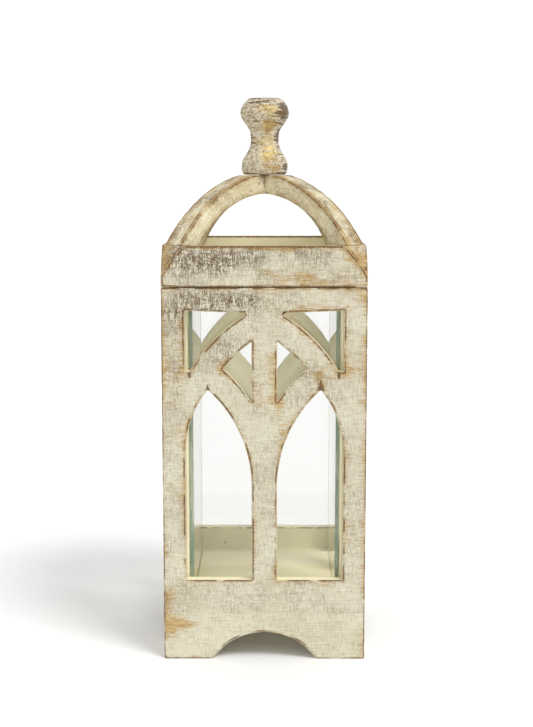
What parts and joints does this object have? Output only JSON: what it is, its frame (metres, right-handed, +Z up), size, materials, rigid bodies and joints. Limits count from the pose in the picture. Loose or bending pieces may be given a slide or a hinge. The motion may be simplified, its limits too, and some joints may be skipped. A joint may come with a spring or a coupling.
{
  "type": "candle lantern",
  "caption": "Square candle lantern with lancet fretwork walls over glass, a footed base, and a back-hinged open crown of curved ribs under a turned finial.",
  "frame": {"origin": "centre of the case's footprint on the surface that it stands on", "axes": "+Z up through the finial, -Y out of the front, +Y out of the hinged back"},
  "size_m": [0.15, 0.1543, 0.4188],
  "materials": {
    "painted_wood": "distressed cream wash over ochre and dark wood, matte",
    "worn_paint": "cream paint rubbed back to gold ochre, crackled, satin",
    "plain_wood": "bare, unpainted, matte",
    "clear_glass": "clear float glass with a green edge",
    "aged_brass": "dull aged brass"
  },
  "bodies": {
    "case": {"fretwork_front": "painted_wood", "bottom_rail_front": "painted_wood", "apron_front": "painted_wood", "fretwork_right": "painted_wood", "bottom_rail_right": "painted_wood", "apron_right": "painted_wood", "fretwork_back": "painted_wood", "bottom_rail_back": "painted_wood", "apron_back": "painted_wood", "fretwork_left": "painted_wood", "bottom_rail_left": "painted_wood", "apron_left": "painted_wood", "floor_board": "painted_wood", "foot_block_front_left": "plain_wood", "corner_post_front_left": "painted_wood", "foot_block_front_right": "plain_wood", "corner_post_front_right": "painted_wood", "foot_block_back_right": "plain_wood", "corner_post_back_right": "painted_wood", "foot_block_back_left": "plain_wood", "corner_post_back_left": "painted_wood", "glass_pane_front": "clear_glass", "glass_pane_right": "clear_glass", "glass_pane_back": "clear_glass", "glass_pane_left": "clear_glass", "hinge_pin_left": "aged_brass", "hinge_leaf_case_left": "aged_brass", "screw_case_left_outer": "aged_brass", "screw_case_left_inner": "aged_brass", "hinge_pin_right": "aged_brass", "hinge_leaf_case_right": "aged_brass", "screw_case_right_outer": "aged_brass", "screw_case_right_inner": "aged_brass"},
    "lid": {"header_front": "painted_wood", "header_right": "painted_wood", "header_back": "painted_wood", "header_left": "painted_wood", "crown_rib_front_left": "painted_wood", "crown_rib_front_right": "painted_wood", "crown_rib_back_right": "painted_wood", "crown_rib_back_left": "painted_wood", "finial": "worn_paint", "finial_dowel": "plain_wood", "hinge_leaf_lid_left": "aged_brass", "screw_lid_left_outer": "aged_brass", "screw_lid_left_inner": "aged_brass", "hinge_leaf_lid_right": "aged_brass", "screw_lid_right_outer": "aged_brass", "screw_lid_right_inner": "aged_brass"}
  },
  "joints": [
    {"name": "lid_hinge", "type": "hinge", "parent": "case", "child": "lid", "pos_m": [0, 0.0773, 0.2797], "axis": [-1, 0, 0], "range_deg": [0, 180]}
  ]
}
